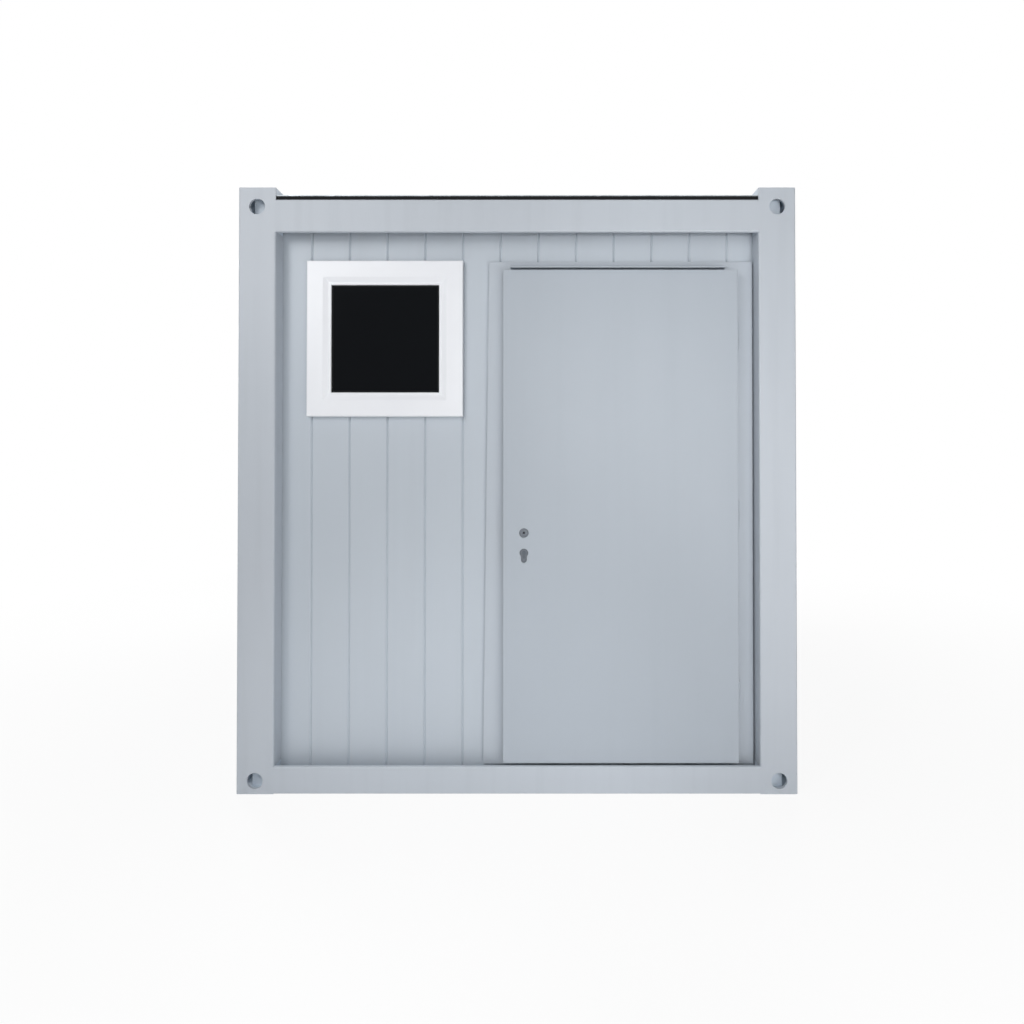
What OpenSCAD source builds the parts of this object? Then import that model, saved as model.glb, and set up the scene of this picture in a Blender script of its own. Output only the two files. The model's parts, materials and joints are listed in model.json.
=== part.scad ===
// Sanitary cabin: a welded steel frame with grooved wall panels, one door and one small window.
// Lengths are in millimetres. The front faces -Y, +Z is up, and the origin is on the ground
// below the middle of the cabin. "Depth" below is measured inwards from an outer face of the frame.

/* [Overall] */
// Width across the front
overall_w = 2400; // [2300:10:3000]
// Length from the front to the rear
overall_d = 3000; // [2200:10:6000]
// Height to the top of the roof corners
overall_h = 2600; // [2560:10:2900]

/* [Steel frame] */
// Face width of a corner post
post_w = 160; // [146:1:170]
// Sheet thickness of a corner post
post_sheet = 5; // [3:0.5:8]
// Inner bend radius of the posts and beams
bend_r = 3; // [1:0.5:6]
// Height of the base beams
base_beam_h = 116; // [110:1:140]
// Height of the roof beams
roof_beam_h = 141; // [120:1:160]
// Sheet thickness of the beams
beam_sheet = 4; // [3:0.5:6]
// Depth of the lip along the visible edge of a beam
beam_lip = 15; // [10:1:25]
// Height of the base ledge that carries the walls
base_ledge_h = 60; // [40:1:90]
// Drop of the roof ledge below the top of the roof beam
roof_ledge_drop = 76; // [50:1:90]
// Height of the stiffening edge along a ledge
ledge_edge = 36; // [20:1:40]
// Rise of the roof corners above the roof beams
corner_rise = 51; // [40:1:80]
// Plate thickness of the corner blocks
corner_plate = 12; // [8:1:16]
// Diameter of the holes in the corner blocks
corner_hole_d = 68; // [50:1:76]
// Depth of the core behind the corner holes
corner_core = 50; // [40:1:60]
// Height of the base corner holes above the ground
base_hole_z = 56; // [50:1:66]
// Drop of the roof corner holes below the top
roof_hole_drop = 82; // [60:1:100]

/* [Walls] */
// Depth of the wall face behind the frame
wall_depth = 85; // [70:1:95]
// Spacing of the grooves in the wall panels
groove_pitch = 167; // [100:0.1:250]
// Distance from a post to the first groove
groove_start = 130; // [60:1:200]
// Width of a groove
groove_w = 12; // [4:0.5:14]
// Depth of a groove
groove_deep = 5; // [1:0.1:6]

/* [Floor and roof] */
// Height of the finished floor
floor_z = 150; // [140:1:170]
// Thickness of the floor deck
deck_t = 22; // [15:1:30]
// Number of floor joists
joist_count = 6; // [3:1:12]
// Flange width of a floor joist
joist_w = 50; // [40:1:80]
// Height of the joist feet above the ground
joist_z = 24; // [22:1:50]
// Sheet thickness of a floor joist
joist_sheet = 3; // [2:0.5:5]
// Thickness of the ceiling panels
ceiling_t = 40; // [20:1:60]
// Height of the seal under the edge of the roof sheet
roof_seal_h = 16; // [10:1:24]
// Width of the seal under the edge of the roof sheet
roof_seal_w = 40; // [20:1:70]
// Distance of the seal and the roof sheet from the frame's outer face
roof_inset = 6; // [2:1:20]
// Sheet thickness of the roof
roof_sheet_t = 2; // [1:0.5:3]
// Height of the folded rim of the roof sheet
roof_rim_h = 4; // [3:1:14]
// Width of the folded rim of the roof sheet
roof_rim_w = 12; // [6:1:20]
// Spacing of the standing seams of the roof
seam_pitch = 460; // [250:10:700]
// Height of a standing seam
seam_h = 18; // [12:1:30]
// Width of a standing seam
seam_w = 14; // [8:1:30]

/* [Door] */
// Width of the door leaf
leaf_w = 1016; // [850:1:1060]
// Distance from the roof beam down to the door leaf
leaf_head_room = 157; // [140:1:400]
// Thickness of the door leaf
leaf_t = 40; // [36:1:44]
// Depth of the leaf's face behind the frame
leaf_depth = 22; // [18:1:26]
// Distance from the hinge edge of the leaf to the post
leaf_from_post = 85; // [80:1:120]
// Gap between the leaf and the base beam
leaf_floor_gap = 5; // [5:0.5:12]
// Gap between the back of the leaf and the door frame
leaf_frame_gap = 6; // [5:0.5:10]
// Overlap of the leaf on the door frame
leaf_overlap = 25; // [15:1:35]
// Width of an upright of the door frame in the wall opening
frame_body_w = 64; // [50:1:80]
// Height of the door frame's head in the wall opening
frame_head_h = 45; // [35:1:60]
// Cover of the door frame's face over the wall, at the head and at the top of the lock side
frame_cover = 25; // [15:1:40]
// Cover of the lock side's face at its foot, where it is wider
lock_foot_cover = 50; // [15:1:60]
// Cover of the hinge side's face
hinge_cover = 38; // [20:1:40]
// Height of the foot of the door frame's face
frame_foot_z = 97; // [90:1:110]
// Inset of the rain strip from the lock edge of the leaf
drip_lock_inset = 31; // [10:1:80]
// Inset of the rain strip from the hinge edge of the leaf
drip_hinge_inset = 50; // [30:1:100]
// Gap between the leaf and the rain strip
drip_gap = 5; // [5:1:20]
// Reach of the rain strip in front of the door frame
drip_reach = 64; // [50:1:66]
// Height of the rain strip's back leg
drip_leg = 28; // [15:1:35]
// Height of the rain strip's front nose
drip_nose = 6; // [4:0.5:12]
// Sheet thickness of the rain strip
drip_sheet = 2; // [1.5:0.5:3]
// Inner bend radius of the rain strip
drip_bend_r = 1; // [0.5:0.5:2]

/* [Lock] */
// Distance of the lock's axis from the edge of the leaf
lock_from_edge = 90; // [60:1:120]
// Height of the handle spindle above the foot of the leaf
spindle_rise = 989; // [850:1:1100]
// Diameter of the spindle hole in the leaf
spindle_hole_d = 41; // [30:1:50]
// Drop of the key hole below the spindle
key_drop = 86; // [70:1:95]
// Diameter of the round part of the key hole
key_hole_d = 38; // [28:1:44]
// Width of the key hole's tail
key_tail_w = 25; // [16:1:30]
// Drop of the tail's foot below the middle of the key hole
key_tail_drop = 43; // [34:1:55]
// Thickness of the lock case
lock_case_t = 20; // [14:1:24]

/* [Hinges] */
// Number of hinges
hinge_count = 3; // [2:1:4]
// Height of a whole hinge
hinge_h = 120; // [80:1:160]
// Distance of the outer hinges from the ends of the leaf
hinge_inset = 220; // [100:1:400]
// Radius of a hinge barrel
barrel_r = 7; // [6:0.5:8]
// Radius of a hinge pin
pin_r = 4; // [3:0.5:4.5]
// Distance of the hinge axis from the edge of the leaf
axis_out = 9; // [9:0.5:12]
// Distance of the hinge axis in front of the door frame
axis_front = 8; // [8:0.5:10]
// Thickness of the hinge plate on the door frame
frame_plate_t = 3; // [2:0.5:4]
// Thickness of the hinge plate on the leaf
leaf_plate_t = 4; // [3:0.5:5]
// Width of a hinge plate
plate_w = 24; // [20:1:32]

/* [Window] */
// Height of the window
window_h = 686; // [400:1:1000]
// Wall left between the window and the post, and the window and the door frame
window_side = 114; // [60:1:180]
// Distance from the roof beam down to the window
window_from_beam = 107; // [60:1:400]
// Face width of the window frame
window_face = 94; // [60:1:110]
// Width of the slope along the inner edge of the window frame
window_slope = 22; // [8:1:30]
// Cover of the window frame over the wall
window_cover = 40; // [20:1:45]
// Stand of the window frame in front of the wall
window_proud = 27; // [15:1:45]
// Depth of the sash behind the face of the window frame
sash_inset = 9; // [4:1:16]
// Face width of the sash
sash_w = 12; // [8:1:45]
// Depth of the sash
sash_deep = 56; // [45:1:64]
// Width of the seal round the pane
pane_seal_w = 8; // [4:1:12]
// Thickness of the seal round the pane
pane_seal_t = 4; // [2:0.5:6]
// Thickness of the sealed glazing unit
pane_t = 24; // [14:1:30]
// Depth of the pane's seal behind the face of the sash
pane_inset = 8; // [4:1:16]
// Bevel along the outer edge of the window frame
window_bevel = 4; // [1:0.5:8]
// Bevel along the inner edge of the sash
sash_bevel = 2; // [1:0.5:4]

/* [Hidden] */
$fn = 48;
bend_steps = 3;
overrun = 1;
hinge_play = 0.3;
pin_play = 0.05;

frame_paint = "#bfc4ca";
wall_paint = "#b5bcc3";
window_white = "#f0f2f5";
rubber_black = "#202428";
zinc_grey = "#a3a9ae";
floor_grey = "#7a7f84";
lock_steel = "#8d9297";
glass_dark = "#0f1218";

pin_share = 0.35;
spindle_share = 0.2;
cylinder_share = 0.5;
web_share = 0.6;

half_w = overall_w / 2;
half_d = overall_d / 2;
open_w = overall_w - 2 * post_w;
open_d = overall_d - 2 * post_w;
wall_t = post_w - wall_depth;
roof_corner_h = roof_beam_h + corner_rise;
roof_beam_z = overall_h - roof_corner_h;
roof_top_z = roof_beam_z + roof_beam_h;
wall_z = base_ledge_h;
wall_top_z = roof_top_z - roof_ledge_drop;
post_h = roof_beam_z - base_beam_h;

// Door positions along the front, from the hinge side to the lock side
leaf_x1 = open_w / 2 - leaf_from_post;
leaf_x0 = leaf_x1 - leaf_w;
leaf_z = base_beam_h + leaf_floor_gap;
leaf_top_z = roof_beam_z - leaf_head_room;
leaf_h = leaf_top_z - leaf_z;
leaf_back = leaf_depth + leaf_t;
frame_face = leaf_back + leaf_frame_gap;
passage_x0 = leaf_x0 + leaf_overlap;
passage_x1 = leaf_x1 - leaf_overlap;
passage_top_z = leaf_top_z - leaf_overlap;
cut_x0 = passage_x0 - frame_body_w;
cut_x1 = passage_x1 + frame_body_w;
cut_top_z = passage_top_z + frame_head_h;
frame_top_z = cut_top_z + frame_cover;

// Lock and hinge positions
lock_x = leaf_x0 + lock_from_edge;
spindle_z = leaf_z + spindle_rise;
key_z = spindle_z - key_drop;
lock_case_w = lock_from_edge + spindle_hole_d;
lock_case_z = key_z - key_drop;
lock_case_top_z = spindle_z + key_drop;
lock_case_front = leaf_depth + (leaf_t - lock_case_t) / 2;
spindle_square = spindle_hole_d * spindle_share;
cylinder_d = key_hole_d * cylinder_share;
cylinder_web = cylinder_d * web_share;
cylinder_drop = key_tail_drop * web_share;
hinge_x = leaf_x1 + axis_out;
hinge_depth = frame_face - axis_front;
hinge_step = (leaf_h - 2 * hinge_inset - hinge_h) / (hinge_count - 1);
pin_h = hinge_h * pin_share;

// Window positions on the front
window_x0 = -open_w / 2 + window_side;
window_x1 = cut_x0 - frame_cover - window_side;
window_w = window_x1 - window_x0;
window_x = (window_x0 + window_x1) / 2;
window_z = roof_beam_z - window_from_beam - window_h / 2;
window_front = wall_depth - window_proud;
window_deep = window_proud + wall_t;
light_w = window_w - 2 * window_face;
light_h = window_h - 2 * window_face;
pane_w = light_w - 2 * sash_w;
pane_h = light_h - 2 * sash_w;
pane_front = sash_inset + pane_inset;

// Puts children on one side of the cabin: 0 front, 1 right, 2 rear, 3 left.
// Their X runs along that side and their Y is the depth.
module on_side(side) {
    reach = side % 2 == 0 ? half_d : half_w;
    rotate([0, 0, 90 * side])
        translate([0, -reach, 0])
            children();
}

// Extrudes a section of depth and height along X between two places.
module along_x(from, to) {
    translate([from, 0, 0])
        rotate([90, 0, 90])
            linear_extrude(to - from)
                children();
}

// Copies children to one corner, drawn for the front left one.
module at_corner(right, rear) {
    mirror([right, 0, 0])
        mirror([0, rear, 0])
            translate([-half_w, -half_d, 0])
                children();
}

function turned(v, angle) = [v.x * cos(angle) - v.y * sin(angle), v.x * sin(angle) + v.y * cos(angle)];

// Points round one bend of a folded sheet, on the left (side 1) or right (side -1) of its middle line.
function bend_points(before, corner, after, side, sheet, inner_r) =
    let (
        coming = (corner - before) / norm(corner - before),
        going = (after - corner) / norm(after - corner),
        way = sign(cross(coming, going)),
        angle = acos(coming * going),
        middle_r = inner_r + sheet / 2,
        hub = corner - coming * middle_r * tan(angle / 2) + turned(coming, 90 * way) * middle_r,
        radius = middle_r - way * side * sheet / 2
    )
    [for (i = [0 : bend_steps]) hub + turned(coming, way * (angle * i / bend_steps - 90)) * radius];

function end_point(place, along, side, sheet) = place + turned(along / norm(along), 90) * side * sheet / 2;

function side_points(path, side, sheet, inner_r) =
    let (last = len(path) - 1)
    [
        end_point(path[0], path[1] - path[0], side, sheet),
        for (i = [1 : last - 1])
            each bend_points(path[i - 1], path[i], path[i + 1], side, sheet, inner_r),
        end_point(path[last], path[last] - path[last - 1], side, sheet)
    ];

// Section of a sheet that is folded along a path, with round bends of one inner radius.
module folded_sheet(path, sheet, inner_r) {
    left = side_points(path, 1, sheet, inner_r);
    right = side_points(path, -1, sheet, inner_r);
    polygon(concat(left, [for (i = [len(right) - 1 : -1 : 0]) right[i]]));
}

module rounded_square(size, radius) {
    translate([radius, 0])
        square([size - 2 * radius, size]);
    translate([0, radius])
        square([size, size - 2 * radius]);
    for (x = [radius, size - radius], y = [radius, size - radius])
        translate([x, y])
            circle(radius);
}

module corner_post(right, rear) {
    color(frame_paint)
        at_corner(right, rear)
            translate([0, 0, base_beam_h])
                linear_extrude(post_h)
                    difference() {
                        rounded_square(post_w, bend_r + post_sheet);
                        translate([post_sheet, post_sheet])
                            rounded_square(post_w - 2 * post_sheet, bend_r);
                    }
}

// Plan of a block whose outer upright edge is as round as the post's.
module block_plan(size, radius) {
    translate([radius, 0])
        square([size - radius, size]);
    translate([0, radius])
        square([size, size - radius]);
    translate([radius, radius])
        circle(radius);
}

// The hollow and the round hole behind the front face of a block.
module corner_pocket(foot_z, height, hole_z) {
    translate([corner_plate, corner_plate, foot_z + corner_plate])
        cube([post_w - 2 * corner_plate, corner_core - corner_plate, height - 2 * corner_plate]);
    translate([post_w / 2, -overrun, hole_z])
        rotate([-90, 0, 0])
            cylinder(d = corner_hole_d, h = corner_plate + 2 * overrun);
}

// A welded block with a round hole in each of its two outer faces, hollow between these and its core.
module corner_block(right, rear, foot_z, height, hole_z) {
    color(frame_paint)
        at_corner(right, rear)
            difference() {
                translate([0, 0, foot_z])
                    linear_extrude(height)
                        block_plan(post_w, bend_r + post_sheet);
                corner_pocket(foot_z, height, hole_z);
                mirror([1, -1, 0])
                    corner_pocket(foot_z, height, hole_z);
            }
}

module base_corner(right, rear) {
    corner_block(right, rear, 0, base_beam_h, base_hole_z);
}

module roof_corner(right, rear) {
    corner_block(right, rear, roof_beam_z, roof_corner_h, overall_h - roof_hole_drop);
}

// One folded sheet: lip, web, foot flange, riser, ledge for the wall and stiffening edge.
module beam_section(height, ledge_h) {
    half = beam_sheet / 2;
    folded_sheet([
        [beam_lip, height - half],
        [half, height - half],
        [half, half],
        [wall_depth - half, half],
        [wall_depth - half, ledge_h - half],
        [post_w - half, ledge_h - half],
        [post_w - half, ledge_h - ledge_edge]
    ], beam_sheet, bend_r);
}

module base_beam(side) {
    span = side % 2 == 0 ? open_w : open_d;
    color(frame_paint)
        on_side(side)
            along_x(-span / 2, span / 2)
                beam_section(base_beam_h, base_ledge_h);
}

module roof_beam(side) {
    span = side % 2 == 0 ? open_w : open_d;
    color(frame_paint)
        on_side(side)
            along_x(-span / 2, span / 2)
                translate([0, roof_top_z])
                    mirror([0, 1])
                        beam_section(roof_beam_h, roof_ledge_drop);
}

module groove(foot_z, top_z) {
    translate([0, 0, foot_z - overrun])
        linear_extrude(top_z - foot_z + 2 * overrun)
            polygon([
                [-groove_w / 2, -overrun],
                [groove_w / 2, -overrun],
                [groove_w / 2, 0],
                [0, groove_deep],
                [-groove_w / 2, 0]
            ]);
}

// A panel between two places on a side that spans the given width between its posts.
// Its grooves keep the rhythm of the whole side.
module wall_panel(from, to, foot_z, top_z, span) {
    difference() {
        translate([from, wall_depth, foot_z])
            cube([to - from, wall_t, top_z - foot_z]);
        for (x = [-span / 2 + groove_start : groove_pitch : span / 2])
            if (x - groove_w > from && x + groove_w < to)
                translate([x, wall_depth, 0])
                    groove(foot_z, top_z);
    }
}

module full_wall(side) {
    span = side % 2 == 0 ? open_w : open_d;
    color(wall_paint)
        on_side(side)
            wall_panel(-span / 2, span / 2, wall_z, wall_top_z, span);
}

module front_wall_left() {
    color(wall_paint)
        on_side(0)
            difference() {
                wall_panel(-open_w / 2, cut_x0, wall_z, wall_top_z, open_w);
                translate([window_x, wall_depth + wall_t / 2, window_z])
                    cube([
                        window_w - 2 * window_cover,
                        wall_t + 2 * overrun,
                        window_h - 2 * window_cover
                    ], center = true);
            }
}

module front_wall_right() {
    color(wall_paint)
        on_side(0)
            wall_panel(cut_x1, open_w / 2, wall_z, cut_top_z, open_w);
}

module front_wall_over_door() {
    color(wall_paint)
        on_side(0)
            wall_panel(cut_x0, open_w / 2, cut_top_z, wall_top_z, open_w);
}

module joist_section(height) {
    half = joist_sheet / 2;
    folded_sheet([
        [joist_w, height - half],
        [half, height - half],
        [half, half],
        [joist_w, half]
    ], joist_sheet, bend_r);
}

module floor_joists() {
    joist_h = floor_z - deck_t - joist_z;
    joist_step = open_d / joist_count;
    first_y = (joist_step - open_d - joist_w) / 2;
    color(zinc_grey)
        for (i = [0 : joist_count - 1])
            translate([0, first_y + i * joist_step, joist_z])
                along_x(-half_w + post_w, half_w - post_w)
                    joist_section(joist_h);
}

// A level plate that fills the room between the wall panels.
module room_plate(foot_z, thickness) {
    translate([-half_w + post_w, -half_d + post_w, foot_z])
        cube([overall_w - 2 * post_w, overall_d - 2 * post_w, thickness]);
}

module floor_deck() {
    color(floor_grey)
        room_plate(floor_z - deck_t, deck_t);
}

module ceiling_panel() {
    color(window_white)
        room_plate(wall_top_z - ceiling_t, ceiling_t);
}

module roof_seal() {
    color(rubber_black)
        for (side = [0 : 3]) {
            span = side % 2 == 0 ? open_w : open_d;
            on_side(side)
                translate([-span / 2, roof_inset, roof_top_z])
                    cube([span, roof_seal_w, roof_seal_h]);
        }
}

// Flat sheet with a folded rim and standing seams from side to side, cut out round the roof corners.
module roof_sheet() {
    sheet_w = overall_w - 2 * roof_inset;
    sheet_d = overall_d - 2 * roof_inset;
    seam_count = floor((open_d - seam_pitch) / seam_pitch);
    color(zinc_grey)
        difference() {
            translate([0, 0, roof_top_z + roof_seal_h])
                union() {
                    translate([-sheet_w / 2, -sheet_d / 2, 0])
                        cube([sheet_w, sheet_d, roof_sheet_t]);
                    difference() {
                        translate([-sheet_w / 2, -sheet_d / 2, 0])
                            cube([sheet_w, sheet_d, roof_rim_h]);
                        translate([roof_rim_w - sheet_w / 2, roof_rim_w - sheet_d / 2, -overrun])
                            cube([sheet_w - 2 * roof_rim_w, sheet_d - 2 * roof_rim_w, roof_rim_h + 2 * overrun]);
                    }
                    for (i = [-seam_count / 2 : seam_count / 2])
                        translate([-sheet_w / 2, i * seam_pitch - seam_w / 2, 0])
                            cube([sheet_w, seam_w, seam_h]);
                }
            for (right = [0, 1], rear = [0, 1])
                at_corner(right, rear)
                    cube([post_w, post_w, overall_h + overrun]);
        }
}

// An upright of the door frame: a body in the wall opening and a face that covers the wall's edge.
// Drawn for the hinge side, with X measured from the passage outwards.
module door_jamb(top_cover, foot_cover) {
    translate([0, wall_depth, wall_z])
        cube([frame_body_w, wall_t, cut_top_z - wall_z]);
    translate([0, wall_depth, 0])
        rotate([90, 0, 0])
            linear_extrude(wall_depth - frame_face)
                polygon([
                    [0, frame_foot_z],
                    [frame_body_w + foot_cover, frame_foot_z],
                    [frame_body_w + top_cover, frame_top_z],
                    [0, frame_top_z]
                ]);
}

module door_jamb_lock_side() {
    color(frame_paint)
        on_side(0)
            translate([passage_x0, 0, 0])
                mirror([1, 0, 0])
                    door_jamb(frame_cover, lock_foot_cover);
}

// The hinge plates are let into this upright.
module door_jamb_hinge_side() {
    color(frame_paint)
        difference() {
            on_side(0)
                translate([passage_x1, 0, 0])
                    door_jamb(hinge_cover, hinge_cover);
            at_hinges()
                frame_plate();
        }
}

module door_head() {
    color(frame_paint)
        on_side(0)
            along_x(passage_x0, passage_x1)
                polygon([
                    [frame_face, passage_top_z],
                    [post_w, passage_top_z],
                    [post_w, cut_top_z],
                    [wall_depth, cut_top_z],
                    [wall_depth, frame_top_z],
                    [frame_face, frame_top_z]
                ]);
}

module door_threshold() {
    color(zinc_grey)
        on_side(0)
            along_x(passage_x0, passage_x1)
                polygon([
                    [frame_face, frame_foot_z],
                    [wall_depth, frame_foot_z],
                    [wall_depth, wall_z],
                    [post_w, wall_z],
                    [post_w, floor_z],
                    [frame_face, floor_z]
                ]);
}

// Folded angle over the door with a turned-down front nose.
module door_rain_strip() {
    half = drip_sheet / 2;
    color(wall_paint)
        on_side(0)
            translate([0, frame_face, leaf_top_z + drip_gap])
                along_x(leaf_x0 + drip_lock_inset, leaf_x1 - drip_hinge_inset)
                    folded_sheet([
                        [-half, drip_leg],
                        [-half, drip_nose - half],
                        [half - drip_reach, drip_nose - half],
                        [half - drip_reach, 0]
                    ], drip_sheet, drip_bend_r);
}

module at_hinges() {
    for (i = [0 : hinge_count - 1])
        translate([hinge_x, -half_d + hinge_depth, leaf_z + hinge_inset + i * hinge_step])
            children();
}

module frame_plate() {
    translate([0, axis_front, 0])
        cube([plate_w, frame_plate_t, (hinge_h - hinge_play) / 2]);
}

// Lower halves on the door frame, each with the pin and a plate that lies flush in the frame.
module frame_hinge_halves() {
    color(frame_paint)
        at_hinges()
            union() {
                cylinder(r = barrel_r, h = (hinge_h - hinge_play) / 2);
                cylinder(r = pin_r, h = hinge_h / 2 + pin_h);
                cube([barrel_r, axis_front + frame_plate_t, (hinge_h - hinge_play) / 2]);
                frame_plate();
            }
}

// Upper halves on the edge of the leaf, each with the bore for the pin.
module leaf_hinge_halves() {
    color(frame_paint)
        at_hinges()
            difference() {
                union() {
                    translate([0, 0, (hinge_h + hinge_play) / 2])
                        cylinder(r = barrel_r, h = (hinge_h - hinge_play) / 2);
                    translate([-axis_out, -plate_w, (hinge_h + hinge_play) / 2])
                        cube([leaf_plate_t, plate_w, (hinge_h - hinge_play) / 2]);
                }
                translate([0, 0, hinge_h / 2 - overrun])
                    cylinder(r = pin_r + pin_play, h = pin_h + hinge_play + overrun);
            }
}

// Section of a hole for a profile cylinder, in X and Z about its round part.
module key_section(diameter, tail_w, tail_drop) {
    circle(d = diameter);
    translate([-tail_w / 2, -tail_drop + tail_w / 2])
        square([tail_w, tail_drop - tail_w / 2]);
    translate([0, -tail_drop + tail_w / 2])
        circle(d = tail_w);
}

module through_leaf(x, z, from, to) {
    translate([x, to, z])
        rotate([90, 0, 0])
            linear_extrude(to - from)
                children();
}

module door_leaf() {
    color(wall_paint)
        on_side(0)
            difference() {
                translate([leaf_x0, leaf_depth, leaf_z])
                    cube([leaf_w, leaf_t, leaf_h]);
                translate([leaf_x0 - overrun, lock_case_front, lock_case_z])
                    cube([lock_case_w + overrun, lock_case_t, lock_case_top_z - lock_case_z]);
                through_leaf(lock_x, spindle_z, leaf_depth - overrun, leaf_back + overrun)
                    circle(d = spindle_hole_d);
                through_leaf(lock_x, key_z, leaf_depth - overrun, leaf_back + overrun)
                    key_section(key_hole_d, key_tail_w, key_tail_drop);
            }
}

module lock_case() {
    lock_case_back = lock_case_front + lock_case_t;
    color(lock_steel)
        on_side(0)
            difference() {
                translate([leaf_x0, lock_case_front, lock_case_z])
                    cube([lock_case_w, lock_case_t, lock_case_top_z - lock_case_z]);
                through_leaf(lock_x, spindle_z, lock_case_front - overrun, lock_case_back + overrun)
                    square(spindle_square, center = true);
                through_leaf(lock_x, key_z, lock_case_front - overrun, lock_case_back + overrun)
                    key_section(cylinder_d, cylinder_web, cylinder_drop);
            }
}

module lock_cylinder() {
    color(zinc_grey)
        on_side(0)
            through_leaf(lock_x, key_z, lock_case_front - cylinder_web / 2,
                lock_case_front + lock_case_t + cylinder_web / 2)
                key_section(cylinder_d, cylinder_web, cylinder_drop);
}

// A closed ring of mitred bars in the plane of the window.
// The children give the bar's section: depth, and distance from the outer edge inwards.
module mitred_ring(width, height, bar, deep) {
    for (turn = [0 : 3]) {
        long = turn % 2 == 0 ? width : height;
        across = turn % 2 == 0 ? height : width;
        rotate([0, 90 * turn, 0])
            translate([0, 0, -across / 2])
                intersection() {
                    along_x(-long / 2, long / 2)
                        children();
                    translate([0, deep + overrun, 0])
                        rotate([90, 0, 0])
                            linear_extrude(deep + 2 * overrun)
                                polygon([
                                    [-long / 2, 0],
                                    [long / 2, 0],
                                    [long / 2 - bar, bar],
                                    [-long / 2 + bar, bar]
                                ]);
                }
    }
}

module at_window() {
    on_side(0)
        translate([window_x, window_front, window_z])
            children();
}

module window_frame() {
    color(window_white)
        at_window()
            mitred_ring(window_w, window_h, window_face, window_deep)
                polygon([
                    [window_bevel, 0],
                    [0, window_bevel],
                    [0, window_face - window_slope],
                    [sash_inset, window_face],
                    [window_deep, window_face],
                    [window_deep, window_cover],
                    [window_proud, window_cover],
                    [window_proud, 0]
                ]);
}

module window_sash() {
    color(window_white)
        at_window()
            translate([0, sash_inset, 0])
                mitred_ring(light_w, light_h, sash_w, sash_deep)
                    polygon([
                        [0, 0],
                        [0, sash_w - sash_bevel],
                        [sash_bevel, sash_w],
                        [sash_deep, sash_w],
                        [sash_deep, 0]
                    ]);
}

module window_pane_seal() {
    color(rubber_black)
        at_window()
            translate([0, pane_front, 0])
                mitred_ring(pane_w, pane_h, pane_seal_w, pane_seal_t)
                    square([pane_seal_t, pane_seal_w]);
}

module window_pane() {
    color(glass_dark)
        at_window()
            translate([-pane_w / 2, pane_front + pane_seal_t, -pane_h / 2])
                cube([pane_w, pane_t, pane_h]);
}

corner_post(0, 0);  // post_front_left
corner_post(1, 0);  // post_front_right
corner_post(0, 1);  // post_rear_left
corner_post(1, 1);  // post_rear_right
base_corner(0, 0);  // base_corner_front_left
base_corner(1, 0);  // base_corner_front_right
base_corner(0, 1);  // base_corner_rear_left
base_corner(1, 1);  // base_corner_rear_right
roof_corner(0, 0);  // roof_corner_front_left
roof_corner(1, 0);  // roof_corner_front_right
roof_corner(0, 1);  // roof_corner_rear_left
roof_corner(1, 1);  // roof_corner_rear_right
base_beam(0);  // base_beam_front
base_beam(1);  // base_beam_right
base_beam(2);  // base_beam_rear
base_beam(3);  // base_beam_left
roof_beam(0);  // roof_beam_front
roof_beam(1);  // roof_beam_right
roof_beam(2);  // roof_beam_rear
roof_beam(3);  // roof_beam_left
front_wall_left();
front_wall_right();
front_wall_over_door();
full_wall(1);  // right_wall
full_wall(2);  // rear_wall
full_wall(3);  // left_wall
floor_joists();
floor_deck();
ceiling_panel();
roof_seal();
roof_sheet();
door_jamb_lock_side();
door_jamb_hinge_side();
door_head();
door_threshold();
door_rain_strip();
frame_hinge_halves();
door_leaf();
leaf_hinge_halves();
lock_case();
lock_cylinder();
window_frame();
window_sash();
window_pane_seal();
window_pane();
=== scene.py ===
"""Sanitary cabin: its paint, zinc, rubber, plastic and glass, the door's gasket, and a white studio."""
import json
import math

import bmesh
import bpy
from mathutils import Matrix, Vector


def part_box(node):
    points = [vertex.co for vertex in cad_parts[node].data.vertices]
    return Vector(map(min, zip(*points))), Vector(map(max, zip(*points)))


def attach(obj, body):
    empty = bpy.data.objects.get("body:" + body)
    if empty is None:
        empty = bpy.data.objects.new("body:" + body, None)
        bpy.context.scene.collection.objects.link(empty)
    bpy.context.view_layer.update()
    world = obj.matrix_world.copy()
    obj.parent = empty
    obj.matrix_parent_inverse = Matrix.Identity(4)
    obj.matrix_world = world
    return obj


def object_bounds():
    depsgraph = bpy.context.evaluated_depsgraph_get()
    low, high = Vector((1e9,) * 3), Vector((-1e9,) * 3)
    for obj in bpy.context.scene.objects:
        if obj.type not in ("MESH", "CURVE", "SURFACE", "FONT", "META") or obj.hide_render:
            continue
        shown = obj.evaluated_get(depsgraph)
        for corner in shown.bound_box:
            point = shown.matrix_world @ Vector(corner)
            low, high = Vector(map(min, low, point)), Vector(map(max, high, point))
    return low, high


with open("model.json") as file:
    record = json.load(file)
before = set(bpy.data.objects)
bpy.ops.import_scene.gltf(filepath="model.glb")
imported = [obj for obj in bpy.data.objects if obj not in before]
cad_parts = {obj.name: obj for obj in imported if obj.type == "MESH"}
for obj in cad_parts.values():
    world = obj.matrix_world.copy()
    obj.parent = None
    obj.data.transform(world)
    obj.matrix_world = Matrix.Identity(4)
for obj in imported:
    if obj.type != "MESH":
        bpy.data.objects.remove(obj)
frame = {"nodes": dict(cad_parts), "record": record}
cad_low, cad_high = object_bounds()

MM = 0.001
NODES = frame["nodes"]
# The wall panels' inner skins lie inside this half width and half length, half a panel behind the outer ones.
WALL_MIDDLE = ((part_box("left_wall")[0].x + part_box("left_wall")[1].x) / -2,
               (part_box("rear_wall")[0].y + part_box("rear_wall")[1].y) / 2)
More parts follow.
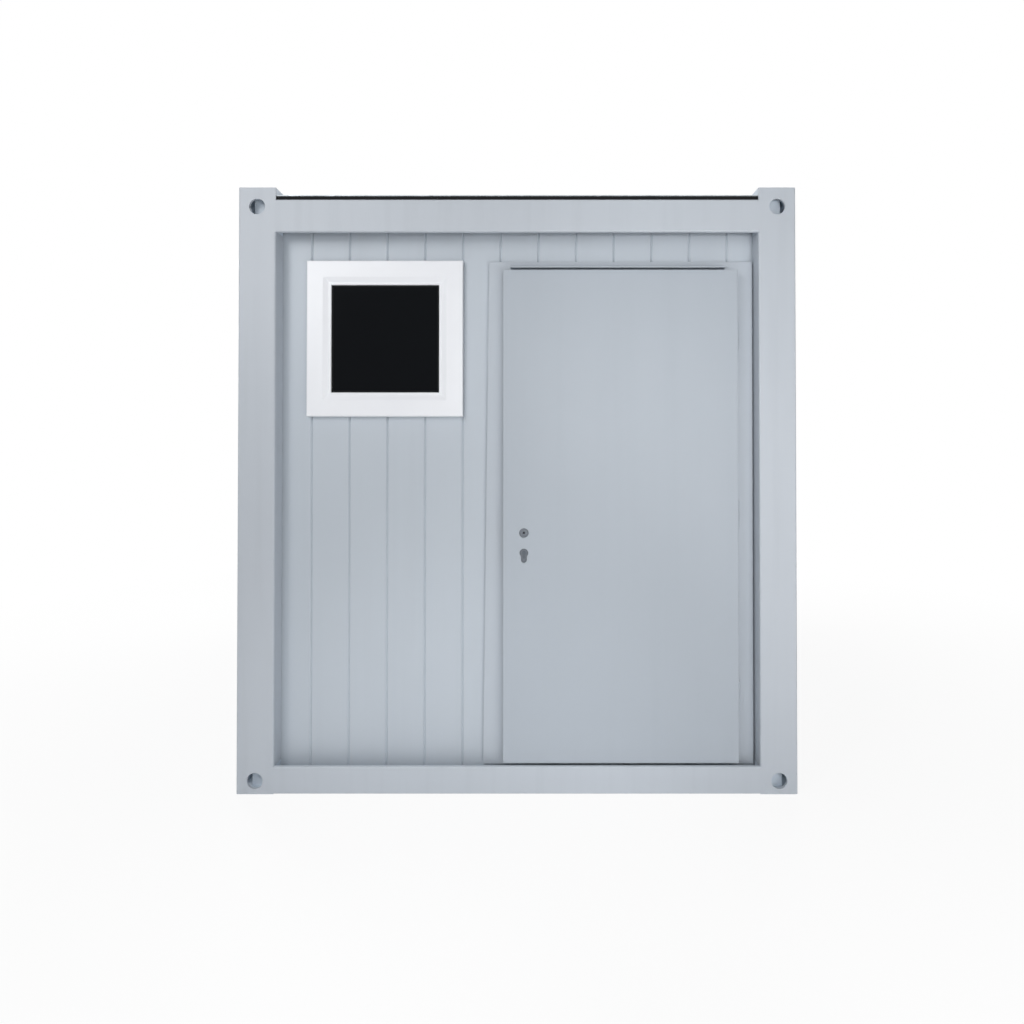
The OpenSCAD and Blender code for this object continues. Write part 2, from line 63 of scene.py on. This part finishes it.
# The insides of the frame's folded sections lie inside this half width and half length, behind the plates.
PLATE_T = 11 * MM
FRAME_INSIDE = (cad_high.x - PLATE_T, cad_high.y - PLATE_T)
# The base and roof sections lie below and above these heights, less the edges that the topcoat reaches.
COATED_EDGE = 5 * MM
BASE_INSIDE_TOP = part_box("base_beam_front")[1].z - COATED_EDGE
ROOF_INSIDE_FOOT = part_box("roof_beam_front")[0].z + COATED_EDGE
# A colour Mix node's sockets go by number, because its hidden sockets for other data have the same names.
SHARE = 0
UNDER = 6
OVER = 7
MIXED = 2


# Helpers

def linear(hex_colour):
    """An sRGB hex colour as linear red, green, blue and alpha."""
    channels = [int(hex_colour[i:i + 2], 16) / 255 for i in (1, 3, 5)]
    return [c / 12.92 if c <= 0.04045 else ((c + 0.055) / 1.055) ** 2.4 for c in channels] + [1.0]


def per_metre(size_mm):
    """The texture scale at which one feature of a pattern is about this many millimetres wide."""
    return 1.0 / (size_mm * MM)


def put(tree, kind, inputs, **properties):
    """Adds a node with these properties. Inputs are values, or sockets to link from."""
    node = tree.nodes.new(kind)
    for name, value in properties.items():
        setattr(node, name, value)
    for key, value in inputs.items():
        if isinstance(value, bpy.types.NodeSocket):
            tree.links.new(value, node.inputs[key])
        else:
            node.inputs[key].default_value = value
    return node


def start_material(name, **shader_values):
    """A new material with one Principled shader. Returns the material, its node tree, shader and place."""
    material = bpy.data.materials.new(name)
    material.use_nodes = True
    tree = material.node_tree
    tree.nodes.clear()
    values = {key.replace("_", " "): value for key, value in shader_values.items()}
    shader = put(tree, "ShaderNodeBsdfPrincipled", values)
    put(tree, "ShaderNodeOutputMaterial", {"Surface": shader.outputs["BSDF"]})
    place = put(tree, "ShaderNodeTexCoord", {}).outputs["Object"]
    return material, tree, shader, place


def dress(tree, shader, colour, dullness, relief):
    """Links a finish's colour, roughness and bump to its shader."""
    for name, socket in (("Base Color", colour), ("Roughness", dullness), ("Normal", relief)):
        tree.links.new(socket, shader.inputs[name])


def make_object(name, shape, material):
    """Turns a finished bmesh into an object at the origin, with one material."""
    mesh = bpy.data.meshes.new(name)
    shape.to_mesh(mesh)
    shape.free()
    mesh.materials.append(material)
    made = bpy.data.objects.new(name, mesh)
    bpy.context.scene.collection.objects.link(made)
    return made


# Finishes

def painted_steel(name, tones, dust_share=0.25, inner_tone=None, inner_half=WALL_MIDDLE, inner_heights=None,
                  fold_mm=None, painted_shade_share=0.0):
    """Paint on folded steel: a satin coat with a fine orange peel, a faint cloudiness, thin rain streaks
    and a little road dust low down. An inner tone paints what lies inside a half width and half length:
    the room side of the wall panels. With two heights it paints only what is below the lower or above the
    upper one: the primer inside the frame, made pale as painted light standing in for light bounced into
    the folds. A fold radius rounds the folded edges and paints them paler: partly a rubbed coat, partly a
    painted highlight. A painted shade share darkens the paint where shade falls, in the grooves and beside
    other pieces."""
    dust = linear("#9AA1A8")
    painted_shade_tone = linear("#6E767E")
    rubbed_coat_and_highlight = linear("#D6DADE")
    cloud_mm = 700
    streak_width_mm = 60
    streak_length_mm = 1400
    streak_dust_share = 0.4 * dust_share
    dust_top = 450 * MM
    shade_reach = 40 * MM
    # Real orange peel is 1 to 3 mm wide and wouldn't show, so it is drawn coarser.
    orange_peel_mm = 7
    orange_peel_depth = 0.4 * MM

    material, tree, shader, place = start_material(name, IOR=1.5)
    cloud = put(tree, "ShaderNodeTexNoise",
                {"Vector": place, "Scale": per_metre(cloud_mm), "Detail": 4.0, "Roughness": 0.55})
    base = put(tree, "ShaderNodeMix",
               {SHARE: cloud.outputs["Fac"], UNDER: linear(tones[0]), OVER: linear(tones[1])},
               data_type="RGBA")

    # Rain streaks are narrow across the wall and long down it.
    stretched = put(tree, "ShaderNodeMapping",
                    {"Vector": place, "Scale": (per_metre(streak_width_mm), per_metre(streak_width_mm),
                                                per_metre(streak_length_mm))})
    streak = put(tree, "ShaderNodeTexNoise",
                 {"Vector": stretched.outputs["Vector"], "Scale": 1.0, "Detail": 3.0})
    streak_share = put(tree, "ShaderNodeMapRange",
                       {"Value": streak.outputs["Fac"], "From Min": 0.5, "From Max": 0.75,
                        "To Min": 0.0, "To Max": streak_dust_share})
    streaked = put(tree, "ShaderNodeMix",
                   {SHARE: streak_share.outputs["Result"], UNDER: base.outputs[MIXED], OVER: dust},
                   data_type="RGBA")

    # Dust fades out over the lowest stretch of the cabin.
    spot = put(tree, "ShaderNodeSeparateXYZ", {"Vector": place})
    low = put(tree, "ShaderNodeMapRange",
              {"Value": spot.outputs["Z"], "From Min": 0.0, "From Max": dust_top,
               "To Min": dust_share, "To Max": 0.0})
    patchy = put(tree, "ShaderNodeMath",
                 {0: low.outputs["Result"], 1: cloud.outputs["Fac"]}, operation="MULTIPLY")
    dusty = put(tree, "ShaderNodeMix",
                {SHARE: patchy.outputs["Value"], UNDER: streaked.outputs[MIXED], OVER: dust},
                data_type="RGBA")
    colour = dusty.outputs[MIXED]

    # Inside the frame the inner tone is a primer made pale as painted light, for light bounced into the
    # folds.
    if inner_tone:
        span_x = put(tree, "ShaderNodeMath", {0: spot.outputs["X"]}, operation="ABSOLUTE")
        span_y = put(tree, "ShaderNodeMath", {0: spot.outputs["Y"]}, operation="ABSOLUTE")
        inside_x = put(tree, "ShaderNodeMath",
                       {0: span_x.outputs["Value"], 1: inner_half[0]}, operation="LESS_THAN")
        inside_y = put(tree, "ShaderNodeMath",
                       {0: span_y.outputs["Value"], 1: inner_half[1]}, operation="LESS_THAN")
        inside = put(tree, "ShaderNodeMath",
                     {0: inside_x.outputs["Value"], 1: inside_y.outputs["Value"]}, operation="MULTIPLY")
        if inner_heights:
            middle = (inner_heights[0] + inner_heights[1]) / 2
            reach = (inner_heights[1] - inner_heights[0]) / 2
            between = put(tree, "ShaderNodeMath",
                          {0: spot.outputs["Z"], 1: middle, 2: reach}, operation="COMPARE")
            inside = put(tree, "ShaderNodeMath",
                         {0: inside.outputs["Value"], 1: between.outputs["Value"]}, operation="SUBTRACT",
                         use_clamp=True)
        two_sided = put(tree, "ShaderNodeMix",
                        {SHARE: inside.outputs["Value"], UNDER: colour, OVER: linear(inner_tone)},
                        data_type="RGBA")
        colour = two_sided.outputs[MIXED]

    # Painted shade: ambient occlusion darkens the paint in grooves and beside other pieces, where shade
    # falls.
    if painted_shade_share:
        shade_probe = put(tree, "ShaderNodeAmbientOcclusion", {"Distance": shade_reach}, samples=8)
        painted_shade_amount = put(tree, "ShaderNodeMapRange",
                          {"Value": shade_probe.outputs["AO"], "From Min": 0.72, "From Max": 0.45,
                           "To Min": 0.0, "To Max": painted_shade_share})
        shaded = put(tree, "ShaderNodeMix",
                    {SHARE: painted_shade_amount.outputs["Result"], UNDER: colour, OVER: painted_shade_tone}, data_type="RGBA")
        colour = shaded.outputs[MIXED]

    sheen = put(tree, "ShaderNodeMapRange",
                {"Value": streak.outputs["Fac"], "To Min": 0.42, "To Max": 0.56})
    peel = put(tree, "ShaderNodeTexNoise",
               {"Vector": place, "Scale": per_metre(orange_peel_mm), "Detail": 2.0})
    bump = put(tree, "ShaderNodeBump",
               {"Height": peel.outputs["Fac"], "Strength": 0.12, "Distance": orange_peel_depth})

    # The folded edges are painted paler: partly a rubbed coat, partly a painted highlight.
    if fold_mm:
        fold = put(tree, "ShaderNodeBevel", {"Radius": fold_mm * MM}, samples=6)
        tree.links.new(fold.outputs["Normal"], bump.inputs["Normal"])
        face = put(tree, "ShaderNodeNewGeometry", {})
        facing = put(tree, "ShaderNodeVectorMath",
                     {0: fold.outputs["Normal"], 1: face.outputs["Normal"]}, operation="DOT_PRODUCT")
        rubbed_and_highlight_share = put(tree, "ShaderNodeMapRange",
                           {"Value": facing.outputs["Value"], "From Min": 1.0, "From Max": 0.75,
                            "To Min": 0.0, "To Max": 0.35})
        edged = put(tree, "ShaderNodeMix",
                    {SHARE: rubbed_and_highlight_share.outputs["Result"], UNDER: colour, OVER: rubbed_coat_and_highlight},
                    data_type="RGBA")
        colour = edged.outputs[MIXED]
    dress(tree, shader, colour, sheen.outputs["Result"], bump.outputs["Normal"])
    return material


def galvanised_sheet():
    """Hot-dipped zinc on steel: grey crystals of about a thumb's width, each with its own shine, under a
    thin dull skin that takes a little off the metal's mirror."""
    crystal_mm = 22
    crystal_step = 0.3 * MM

    material, tree, shader, place = start_material("hot-dipped zinc on steel", Metallic=0.85)
    crystal = put(tree, "ShaderNodeTexVoronoi",
                  {"Vector": place, "Scale": per_metre(crystal_mm), "Randomness": 1.0}, feature="F1")
    each = put(tree, "ShaderNodeSeparateColor", {"Color": crystal.outputs["Color"]})
    tone = put(tree, "ShaderNodeMix",
               {SHARE: each.outputs["Red"], UNDER: linear("#969CA1"), OVER: linear("#AEB3B8")},
               data_type="RGBA")
    dull = put(tree, "ShaderNodeMapRange",
               {"Value": each.outputs["Green"], "To Min": 0.46, "To Max": 0.6})
    bump = put(tree, "ShaderNodeBump",
               {"Height": each.outputs["Blue"], "Strength": 0.08, "Distance": crystal_step})
    dress(tree, shader, tone.outputs[MIXED], dull.outputs["Result"], bump.outputs["Normal"])
    return material


def threshold_aluminium():
    """Extruded and anodised aluminium: a pale, soft metal with fine lines along the sill and scuffs from
    shoes. Real drawing lines are finer than half a millimetre and wouldn't show, so they are drawn wider."""
    line_width_mm = 3
    line_length_mm = 300
    line_depth = 0.2 * MM
    scuff_mm = 40

    material, tree, shader, place = start_material("anodised aluminium", Metallic=1.0)
    along = put(tree, "ShaderNodeMapping",
                {"Vector": place, "Scale": (per_metre(line_length_mm), per_metre(line_width_mm),
                                            per_metre(line_width_mm))})
    lines = put(tree, "ShaderNodeTexNoise",
                {"Vector": along.outputs["Vector"], "Scale": 1.0, "Detail": 3.0})
    scuff = put(tree, "ShaderNodeTexNoise", {"Vector": place, "Scale": per_metre(scuff_mm), "Detail": 5.0})
    tone = put(tree, "ShaderNodeMix",
               {SHARE: scuff.outputs["Fac"], UNDER: linear("#C9CDD1"), OVER: linear("#D8DBDE")},
               data_type="RGBA")
    dull = put(tree, "ShaderNodeMapRange", {"Value": scuff.outputs["Fac"], "To Min": 0.3, "To Max": 0.55})
    bump = put(tree, "ShaderNodeBump",
               {"Height": lines.outputs["Fac"], "Strength": 0.15, "Distance": line_depth})
    dress(tree, shader, tone.outputs[MIXED], dull.outputs["Result"], bump.outputs["Normal"])
    return material


def floor_covering():
    """Sheet vinyl for wet rooms: grey with small lighter and darker chips and a worn, even dullness. Real
    chips are 2 to 4 mm wide and wouldn't show, so they are drawn a little larger."""
    chip_mm = 6
    chip_step = 0.2 * MM
    worn_patch_mm = 350

    material, tree, shader, place = start_material("speckled sheet vinyl", IOR=1.5)
    chips = put(tree, "ShaderNodeTexVoronoi", {"Vector": place, "Scale": per_metre(chip_mm)}, feature="F1")
    each = put(tree, "ShaderNodeSeparateColor", {"Color": chips.outputs["Color"]})
    tone = put(tree, "ShaderNodeMix",
               {SHARE: each.outputs["Red"], UNDER: linear("#6E7378"), OVER: linear("#868B90")},
               data_type="RGBA")
    worn = put(tree, "ShaderNodeTexNoise",
               {"Vector": place, "Scale": per_metre(worn_patch_mm), "Detail": 4.0})
    dull = put(tree, "ShaderNodeMapRange", {"Value": worn.outputs["Fac"], "To Min": 0.5, "To Max": 0.7})
    bump = put(tree, "ShaderNodeBump",
               {"Height": each.outputs["Green"], "Strength": 0.1, "Distance": chip_step})
    dress(tree, shader, tone.outputs[MIXED], dull.outputs["Result"], bump.outputs["Normal"])
    return material


def moulded(name, tones, cloud_mm, roughness, grain_mm, grain_strength, **shader_values):
    """A plain moulded, plated or cast surface: two close tones in soft clouds, and an even grain. A real
    grain is finer than a millimetre and wouldn't show, so it is drawn coarser."""
    grain_depth = 0.3 * MM

    material, tree, shader, place = start_material(name, **shader_values)
    cloud = put(tree, "ShaderNodeTexNoise", {"Vector": place, "Scale": per_metre(cloud_mm), "Detail": 3.0})
    tone = put(tree, "ShaderNodeMix",
               {SHARE: cloud.outputs["Fac"], UNDER: linear(tones[0]), OVER: linear(tones[1])},
               data_type="RGBA")
    dull = put(tree, "ShaderNodeMapRange",
               {"Value": cloud.outputs["Fac"], "To Min": roughness[0], "To Max": roughness[1]})
    grain = put(tree, "ShaderNodeTexNoise", {"Vector": place, "Scale": per_metre(grain_mm), "Detail": 2.0})
    bump = put(tree, "ShaderNodeBump",
               {"Height": grain.outputs["Fac"], "Strength": grain_strength, "Distance": grain_depth})
    dress(tree, shader, tone.outputs[MIXED], dull.outputs["Result"], bump.outputs["Normal"])
    return material


FINISHES = {
    # Sprayed on the welded frame: satin blue-grey, dusty low down, with a paler primer inside the folds
    # that is also painted light, standing in for light bounced into the holes and folds.
    "frame_paint": painted_steel(
        "satin paint on frame steel", ("#BDC4CC", "#C4CAD2"), inner_tone="#D6E0EA", inner_half=FRAME_INSIDE,
        inner_heights=(BASE_INSIDE_TOP, ROOF_INSIDE_FOOT)),
    # Coated in the coil before it was rolled: even and clean, painted shade in the grooves, white in the
    # room.
    "wall_paint": painted_steel(
        "coil-coated wall steel", ("#BCC4CD", "#C1C9D1"), dust_share=0.12, inner_tone="#E4E6E6",
        painted_shade_share=0.35),
    # Coated in the coil, then folded: even over the whole leaf, with round edges painted paler,
    # partly a rubbed coat and partly a painted highlight.
    "door_paint": painted_steel(
        "coil-coated door steel", ("#ACB4BD", "#B0B8C1"), dust_share=0.12, fold_mm=3),
    # Sprayed on the folded frame of the door: satin, with tighter edges and painted shade beside the leaf.
    "door_frame_paint": painted_steel(
        "satin paint on door frame", ("#B5BDC6", "#BBC2CA"), dust_share=0.12, fold_mm=2, painted_shade_share=0.35),
    "threshold_aluminium": threshold_aluminium(),
    "galvanised_sheet": galvanised_sheet(),
    "floor_covering": floor_covering(),
    # Flat sheet coated white in the coil: an even, soft sheen with hardly a mark.
    "ceiling_white": moulded(
        "white coil-coated ceiling", ("#E6E7E7", "#EBECEC"), cloud_mm=600, roughness=(0.45, 0.55),
        grain_mm=8, grain_strength=0.08),
    # Extruded rubber: deep black and dull, with a slightly uneven skin.
    "black_rubber": moulded(
        "black EPDM rubber", ("#0A0B0D", "#101214"), cloud_mm=60, roughness=(0.7, 0.85),
        grain_mm=2, grain_strength=0.2, Specular_IOR_Level=0.2),
    # Pressed and zinc-plated: a cool, blotchy grey with half a shine.
    "lock_steel": moulded(
        "zinc-plated lock steel", ("#5E636A", "#6C7177"), cloud_mm=15, roughness=(0.35, 0.5),
        grain_mm=3, grain_strength=0.1, Metallic=0.8),
    # Turned brass, nickel-plated: smoother and darker, with a clearer shine.
    "lock_nickel": moulded(
        "nickel-plated brass", ("#52575E", "#60656B"), cloud_mm=10, roughness=(0.3, 0.45),
        grain_mm=3, grain_strength=0.05, Metallic=1.0),
    # Extruded PVC: a clean, cool white with a low gloss.
    "window_plastic": moulded(
        "white window PVC", ("#F2F4F9", "#F5F7FB"), cloud_mm=300, roughness=(0.3, 0.4),
        grain_mm=5, grain_strength=0.05, IOR=1.5),
    # Tinted float glass, drawn opaque: nearly black and smooth, with a slow wave instead of a grain.
    # Its blackness is the tint together with painted shade for the dim room behind the pane.
    "tinted_glass": moulded(
        "tinted glass with painted shade", ("#0A0C10", "#0D1013"), cloud_mm=500, roughness=(0.06, 0.1),
        grain_mm=400, grain_strength=0.02, IOR=1.5, Specular_IOR_Level=0.05),
}

for subpart in frame["record"]["subparts"]:
    for material_slot in NODES[subpart["node"]].material_slots:
        material_slot.link = "OBJECT"
        material_slot.material = FINISHES[subpart["material_slot"]]


# Pieces

def door_gasket():
    """The rubber seal let into the door frame's face all round the passage, a millimetre proud of it."""
    lock_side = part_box("door_jamb_lock_side")[1].x
    hinge_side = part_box("door_jamb_hinge_side")[0].x
    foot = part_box("door_threshold")[1].z
    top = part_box("door_head")[0].z
    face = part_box("door_head")[0].y
    from_passage = 4 * MM
    width = 12 * MM
    height = 1 * MM
    rounding = 0.4 * MM
    sharp = math.radians(45)

    shape = bmesh.new()
    outer = from_passage + width
    corners = [shape.verts.new((x, face, z)) for x, z in (
        (lock_side - outer, foot - outer), (hinge_side + outer, foot - outer),
        (hinge_side + outer, top + outer), (lock_side - outer, top + outer))]
    panel = shape.faces.new(corners)
    shape.normal_update()
    bmesh.ops.inset_region(shape, faces=[panel], thickness=width, use_boundary=True, use_even_offset=True)
    bmesh.ops.delete(shape, geom=[panel], context="FACES_ONLY")
    raised = bmesh.ops.extrude_face_region(shape, geom=shape.faces[:], use_keep_orig=True)["geom"]
    crest = [part for part in raised if isinstance(part, bmesh.types.BMVert)]
    bmesh.ops.translate(shape, verts=crest, vec=(0, -height, 0))
    bmesh.ops.recalc_face_normals(shape, faces=shape.faces[:])
    shape.normal_update()
    rims = [part for part in raised
            if isinstance(part, bmesh.types.BMEdge) and part.calc_face_angle() > sharp]
    bmesh.ops.bevel(shape, geom=rims, offset=rounding, affect="EDGES", segments=3, profile=0.5, material=-1)

    gasket = make_object("door_gasket", shape, FINISHES["black_rubber"])
    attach(gasket, "shell")


door_gasket()


# Studio

def seen_directly(tree):
    """A socket that is 1 for what the camera, a mirror or glass sees, and 0 for light on other things."""
    path = put(tree, "ShaderNodeLightPath", {})
    mirror = put(tree, "ShaderNodeMath",
                 {0: path.outputs["Is Camera Ray"], 1: path.outputs["Is Glossy Ray"]}, operation="MAXIMUM")
    either = put(tree, "ShaderNodeMath",
                 {0: mirror.outputs["Value"], 1: path.outputs["Is Transmission Ray"]}, operation="MAXIMUM")
    return either.outputs["Value"]


def studio_floor():
    """A wide white floor. Seen directly it is nearly pure white, wholly so far from the cabin, and it
    still takes the cabin's shadow."""
    half_width = 40
    shadow_end = 2.0
    white_start = 5.0
    glow_by_cabin = 0.9

    material = bpy.data.materials.new("white studio floor")
    material.use_nodes = True
    tree = material.node_tree
    tree.nodes.clear()
    paper = put(tree, "ShaderNodeBsdfDiffuse", {"Color": linear("#F2F2F2")})
    glow = put(tree, "ShaderNodeEmission", {"Color": linear("#FFFFFF"), "Strength": 1.0})
    place = put(tree, "ShaderNodeTexCoord", {}).outputs["Object"]
    distance = put(tree, "ShaderNodeVectorMath", {0: place}, operation="LENGTH")
    glow_share = put(tree, "ShaderNodeMapRange",
                     {"Value": distance.outputs["Value"], "From Min": shadow_end, "From Max": white_start,
                      "To Min": glow_by_cabin, "To Max": 1.0})
    share = put(tree, "ShaderNodeMath",
                {0: seen_directly(tree), 1: glow_share.outputs["Result"]}, operation="MULTIPLY")
    mixed = put(tree, "ShaderNodeMixShader",
                {0: share.outputs["Value"], 1: paper.outputs["BSDF"], 2: glow.outputs["Emission"]})
    put(tree, "ShaderNodeOutputMaterial", {"Surface": mixed.outputs["Shader"]})

    shape = bmesh.new()
    bmesh.ops.create_grid(shape, x_segments=1, y_segments=1, size=half_width)
    floor = make_object("studio_floor", shape, material)


def studio_sky():
    """A little even white light from all round, and a white background."""
    world = bpy.data.worlds.new("white studio")
    bpy.context.scene.world = world
    world.use_nodes = True
    tree = world.node_tree
    tree.nodes.clear()
    light = put(tree, "ShaderNodeBackground", {"Color": linear("#FFFFFF"), "Strength": 0.18})
    backdrop = put(tree, "ShaderNodeBackground", {"Color": linear("#FFFFFF"), "Strength": 1.0})
    mixed = put(tree, "ShaderNodeMixShader",
                {0: seen_directly(tree), 1: light.outputs["Background"], 2: backdrop.outputs["Background"]})
    put(tree, "ShaderNodeOutputWorld", {"Surface": mixed.outputs["Shader"]})


def aim_lamp(lamp, place, target):
    """Hangs a lamp at a place and turns it to a point. The camera doesn't see the lamp itself."""
    holder = bpy.data.objects.new(lamp.name, lamp)
    holder.location = place
    holder.rotation_euler = (Vector(target) - Vector(place)).to_track_quat("-Z", "Y").to_euler()
    holder.visible_camera = False
    bpy.context.scene.collection.objects.link(holder)


def soft_box(name, place, target, size, watts):
    """A square lamp that looks at a point."""
    lamp = bpy.data.lights.new(name, "AREA")
    lamp.shape = "SQUARE"
    lamp.size = size
    lamp.energy = watts
    aim_lamp(lamp, place, target)


def soft_spot(name, place, target, cone_deg, edge, watts):
    """A round lamp with a soft-edged cone that looks at a point. The edge is the share that fades."""
    lamp = bpy.data.lights.new(name, "SPOT")
    lamp.spot_size = math.radians(cone_deg)
    lamp.spot_blend = edge
    lamp.shadow_soft_size = 0.3
    lamp.energy = watts
    aim_lamp(lamp, place, target)


def photo_camera():
    """The picture's camera: a little right of the middle, at eye height, three metres before the front."""
    lens = bpy.data.cameras.new("photo_camera")
    lens.sensor_width = 36.0
    lens.lens = 23.512
    lens.shift_x = -0.0221
    lens.shift_y = -0.0743
    camera = bpy.data.objects.new("photo_camera", lens)
    camera.location = (0.0754, -4.3703, 1.4999)
    camera.rotation_euler = (math.radians(90.589), 0.0, 0.0)
    bpy.context.scene.collection.objects.link(camera)
    bpy.context.scene.camera = camera


studio_floor()
studio_sky()
FRONT = (0.0, -1.5, 1.3)
MIDDLE = (0.0, 0.0, 1.3)
# Boxes from the left give the shadows beside and below the window, and the rest fill them.
soft_box("high_left_box", place=(-1.97, -4.32, 3.71), target=FRONT, size=1.5, watts=26)
soft_box("left_box", place=(-2.25, -4.5, 2.9), target=FRONT, size=0.8, watts=21)
soft_box("front_box", place=(0.2, -5.1, 1.75), target=FRONT, size=1.2, watts=18)
soft_box("low_right_box", place=(2.1, -4.8, 0.5), target=FRONT, size=1.5, watts=30)
# Spots at the camera's height reach the right post and the wall's foot and top behind the beams' lips.
soft_spot("right_spot", place=(1.35, -4.6, 1.9), target=(3.9, -1.5, 1.5), cone_deg=134, edge=0.25, watts=74)
soft_spot("foot_spot", place=(-0.3, -4.2, 2.1), target=(-0.3, -1.45, -0.2), cone_deg=46, edge=1.0, watts=95)
soft_spot("head_spot", place=(0.1, -4.4, 2.1), target=(0.1, -1.5, 2.5), cone_deg=76, edge=1.0, watts=28)
# The roof, the sides and the rear.
soft_box("roof_box", place=(0.0, -0.3, 6.0), target=(0.0, -0.3, 2.5), size=3.2, watts=70)
soft_box("rear_left_box", place=(-4.2, 2.6, 3.0), target=MIDDLE, size=1.8, watts=120)
soft_box("rear_right_box", place=(3.6, 4.2, 2.6), target=MIDDLE, size=1.8, watts=110)
photo_camera()
bpy.context.scene.view_settings.view_transform = "Standard"
